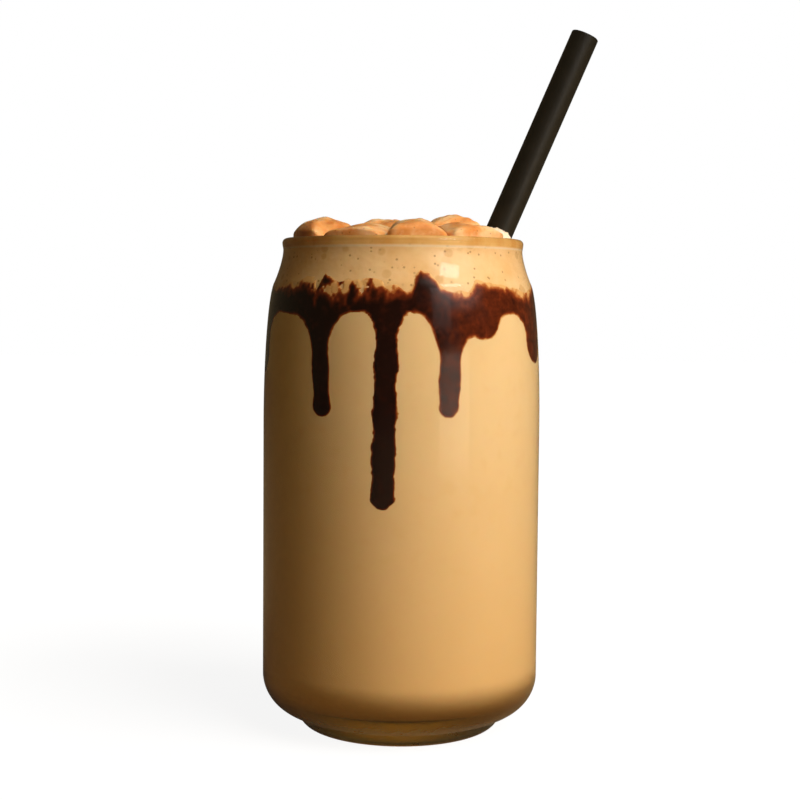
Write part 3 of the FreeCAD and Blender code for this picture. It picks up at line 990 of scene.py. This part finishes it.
glass = make_glass()
drink = make_drink()
froth = make_froth()
sauce = make_sauce()
straw = make_straw()
bubbles = make_bubbles()
lumps = [make_lump(number) for number in range(len(ICE_LUMPS))]

for piece, cad_node, slot in [
        (glass, "glass", "glass"), (drink, "coffee", "coffee"), (froth, "froth", "froth"),
        (sauce, "chocolate_sauce", "chocolate_sauce"), (straw, "straw", "straw")]:
    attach(piece, "root")
    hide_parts(cad_node)
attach(bubbles, "root")
for number, piece in enumerate(lumps, start=1):
    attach(piece, "root")
    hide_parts("ice_lump_%02d" % number)


# ---------------------------------------------------------------- floor, light and camera

LIGHT_AIM = 70.0
GLOSS_WHITE = 0.03


def white_for_looks(tree, in_gloss, through_glass=1.0):
    """The share of plain white that a ray sees: all of it from the camera, and the given
    shares through glass and in gloss."""
    path = node(tree, "ShaderNodeLightPath")
    seen = maths(tree, "MAXIMUM", path.outputs["Is Camera Ray"],
                 maths(tree, "MULTIPLY", path.outputs["Is Transmission Ray"], through_glass))
    gloss = maths(tree, "MULTIPLY", path.outputs["Is Glossy Ray"], in_gloss)
    return maths(tree, "MAXIMUM", seen, gloss)


FLOOR_HALF = 2500.0
FLOOR_DROP = 0.05


def make_floor():
    """A wide pale floor, matt for light that bounces and plain white where it is seen.

    A small warm glow under the foot stands in for light that the thick base leads in.
    """
    paint, tree = new_paint("pale_floor")
    grain = cloud(tree, 30.0, 3.0)
    shade = ramp(tree, grain, [(0.3, (0.21, 0.15, 0.07, 1.0)), (0.7, (0.25, 0.18, 0.09, 1.0))])
    matt = node(tree, "ShaderNodeBsdfDiffuse", {"Color": shade})
    dim = node(tree, "ShaderNodeBsdfDiffuse", {"Color": (0.14, 0.14, 0.14, 1.0)})
    place = node(tree, "ShaderNodeTexCoord").outputs["Object"]
    far = node(tree, "ShaderNodeVectorMath", {0: place}, operation="LENGTH").outputs["Value"]
    glow = node(tree, "ShaderNodeEmission", {
        "Color": (1.0, 1.0, 1.0, 1.0), "Strength": rescaled(tree, far, 0.08, 0.3, 0.9, 1.0)})
    lit = node(tree, "ShaderNodeAddShader", {0: dim.outputs[0], 1: glow.outputs[0]})
    pooled = node(tree, "ShaderNodeEmission", {
        "Color": (1.0, 0.94, 0.30, 1.0), "Strength": rescaled(tree, far, 0.017, 0.007, 0.0, 1.7)})
    matt = node(tree, "ShaderNodeAddShader", {0: matt.outputs[0], 1: pooled.outputs[0]})
    seen = white_for_looks(tree, GLOSS_WHITE)
    mixed = node(tree, "ShaderNodeMixShader", {0: seen, 1: matt.outputs[0], 2: lit.outputs[0]})
    finish_paint(tree, mixed.outputs[0])
    corners = np.array([(-1, -1), (1, -1), (1, 1), (-1, 1)]) * FLOOR_HALF
    grid = np.column_stack([corners, np.full(4, -FLOOR_DROP)])
    mesh = bpy.data.meshes.new("floor")
    mesh.from_pydata((grid * MM).tolist(), [], [(0, 1, 2, 3)])
    mesh.materials.append(paint)
    floor = bpy.data.objects.new("floor", mesh)
    bpy.context.scene.collection.objects.link(floor)


def make_world():
    """White as the camera sees it, fainter through glass and in gloss, and a dim warm fill."""
    world = bpy.data.worlds.new("studio")
    bpy.context.scene.world = world
    world.use_nodes = True
    tree = world.node_tree
    tree.nodes.clear()
    fill = node(tree, "ShaderNodeBackground", {"Color": (1.0, 0.64, 0.12, 1.0),
                                               "Strength": 0.06})
    white = node(tree, "ShaderNodeBackground", {"Color": (1.0, 1.0, 1.0, 1.0),
                                                "Strength": 1.0})
    seen = white_for_looks(tree, GLOSS_WHITE, 0.45)
    mixed = node(tree, "ShaderNodeMixShader", {0: seen, 1: fill.outputs[0],
                                               2: white.outputs[0]})
    node(tree, "ShaderNodeOutputWorld", {"Surface": mixed.outputs[0]})


def soft_panel(name, angle, height, distance, width, tall, power, tint, in_gloss):
    """A panel of light that faces the glass, at an angle round it, with or without a gleam."""
    lamp = bpy.data.lights.new(name, "AREA")
    lamp.shape = "RECTANGLE"
    lamp.size = width * MM
    lamp.size_y = tall * MM
    lamp.energy = power
    lamp.color = tint
    panel = bpy.data.objects.new(name, lamp)
    place = round_the_glass(angle, distance, height)
    towards = np.array([0.0, 0.0, LIGHT_AIM]) - place
    yaw = math.atan2(towards[1], towards[0])
    level = math.hypot(towards[0], towards[1])
    pitch = math.atan2(towards[2], level)
    panel.location = tuple(place * MM)
    panel.rotation_euler = (math.pi / 2 + pitch, 0.0, yaw - math.pi / 2)
    panel.visible_glossy = in_gloss
    bpy.context.scene.collection.objects.link(panel)


def make_camera():
    """A camera a little right of the front and below the mouth, tipped slightly down.

    Its place is in metres, and its tip and roll are in radians.
    """
    lens = bpy.data.cameras.new("camera")
    lens.sensor_width = 36.0
    lens.lens = 69.462
    lens.clip_end = 20.0
    camera = bpy.data.objects.new("camera", lens)
    camera.location = (0.02082, -0.41948, 0.11685)
    turn = math.radians(2.9)
    down = 0.0663
    roll = 0.0082
    facing = (Matrix.Rotation(turn, 3, "Z") @ Matrix.Rotation(math.pi / 2 - down, 3, "X")
              @ Matrix.Rotation(roll, 3, "Z"))
    camera.rotation_euler = facing.to_euler()
    bpy.context.scene.collection.objects.link(camera)
    bpy.context.scene.camera = camera


make_floor()
make_world()
# Angle, height and distance of each panel, its width, height, power and tint, and its gleam
soft_panel("key_panel", 53.0, 760.0, 950.0, 850.0, 850.0, 18.8, (1.0, 0.98, 0.94), False)
soft_panel("top_panel", 75.0, 900.0, 350.0, 600.0, 600.0, 1.0, (1.0, 0.94, 0.84), True)
soft_panel("window_panel", 50.0, 800.0, 1000.0, 330.0, 190.0, 1.15, (0.96, 0.97, 1.0), True)
soft_panel("veil_panel", 36.0, 430.0, 1000.0, 290.0, 380.0, 0.13, (1.0, 0.97, 0.95), True)
soft_panel("low_panel", 45.0, 75.0, 600.0, 270.0, 130.0, 0.14, (1.0, 0.90, 0.74), True)
make_camera()
bpy.context.scene.view_settings.view_transform = "Standard"
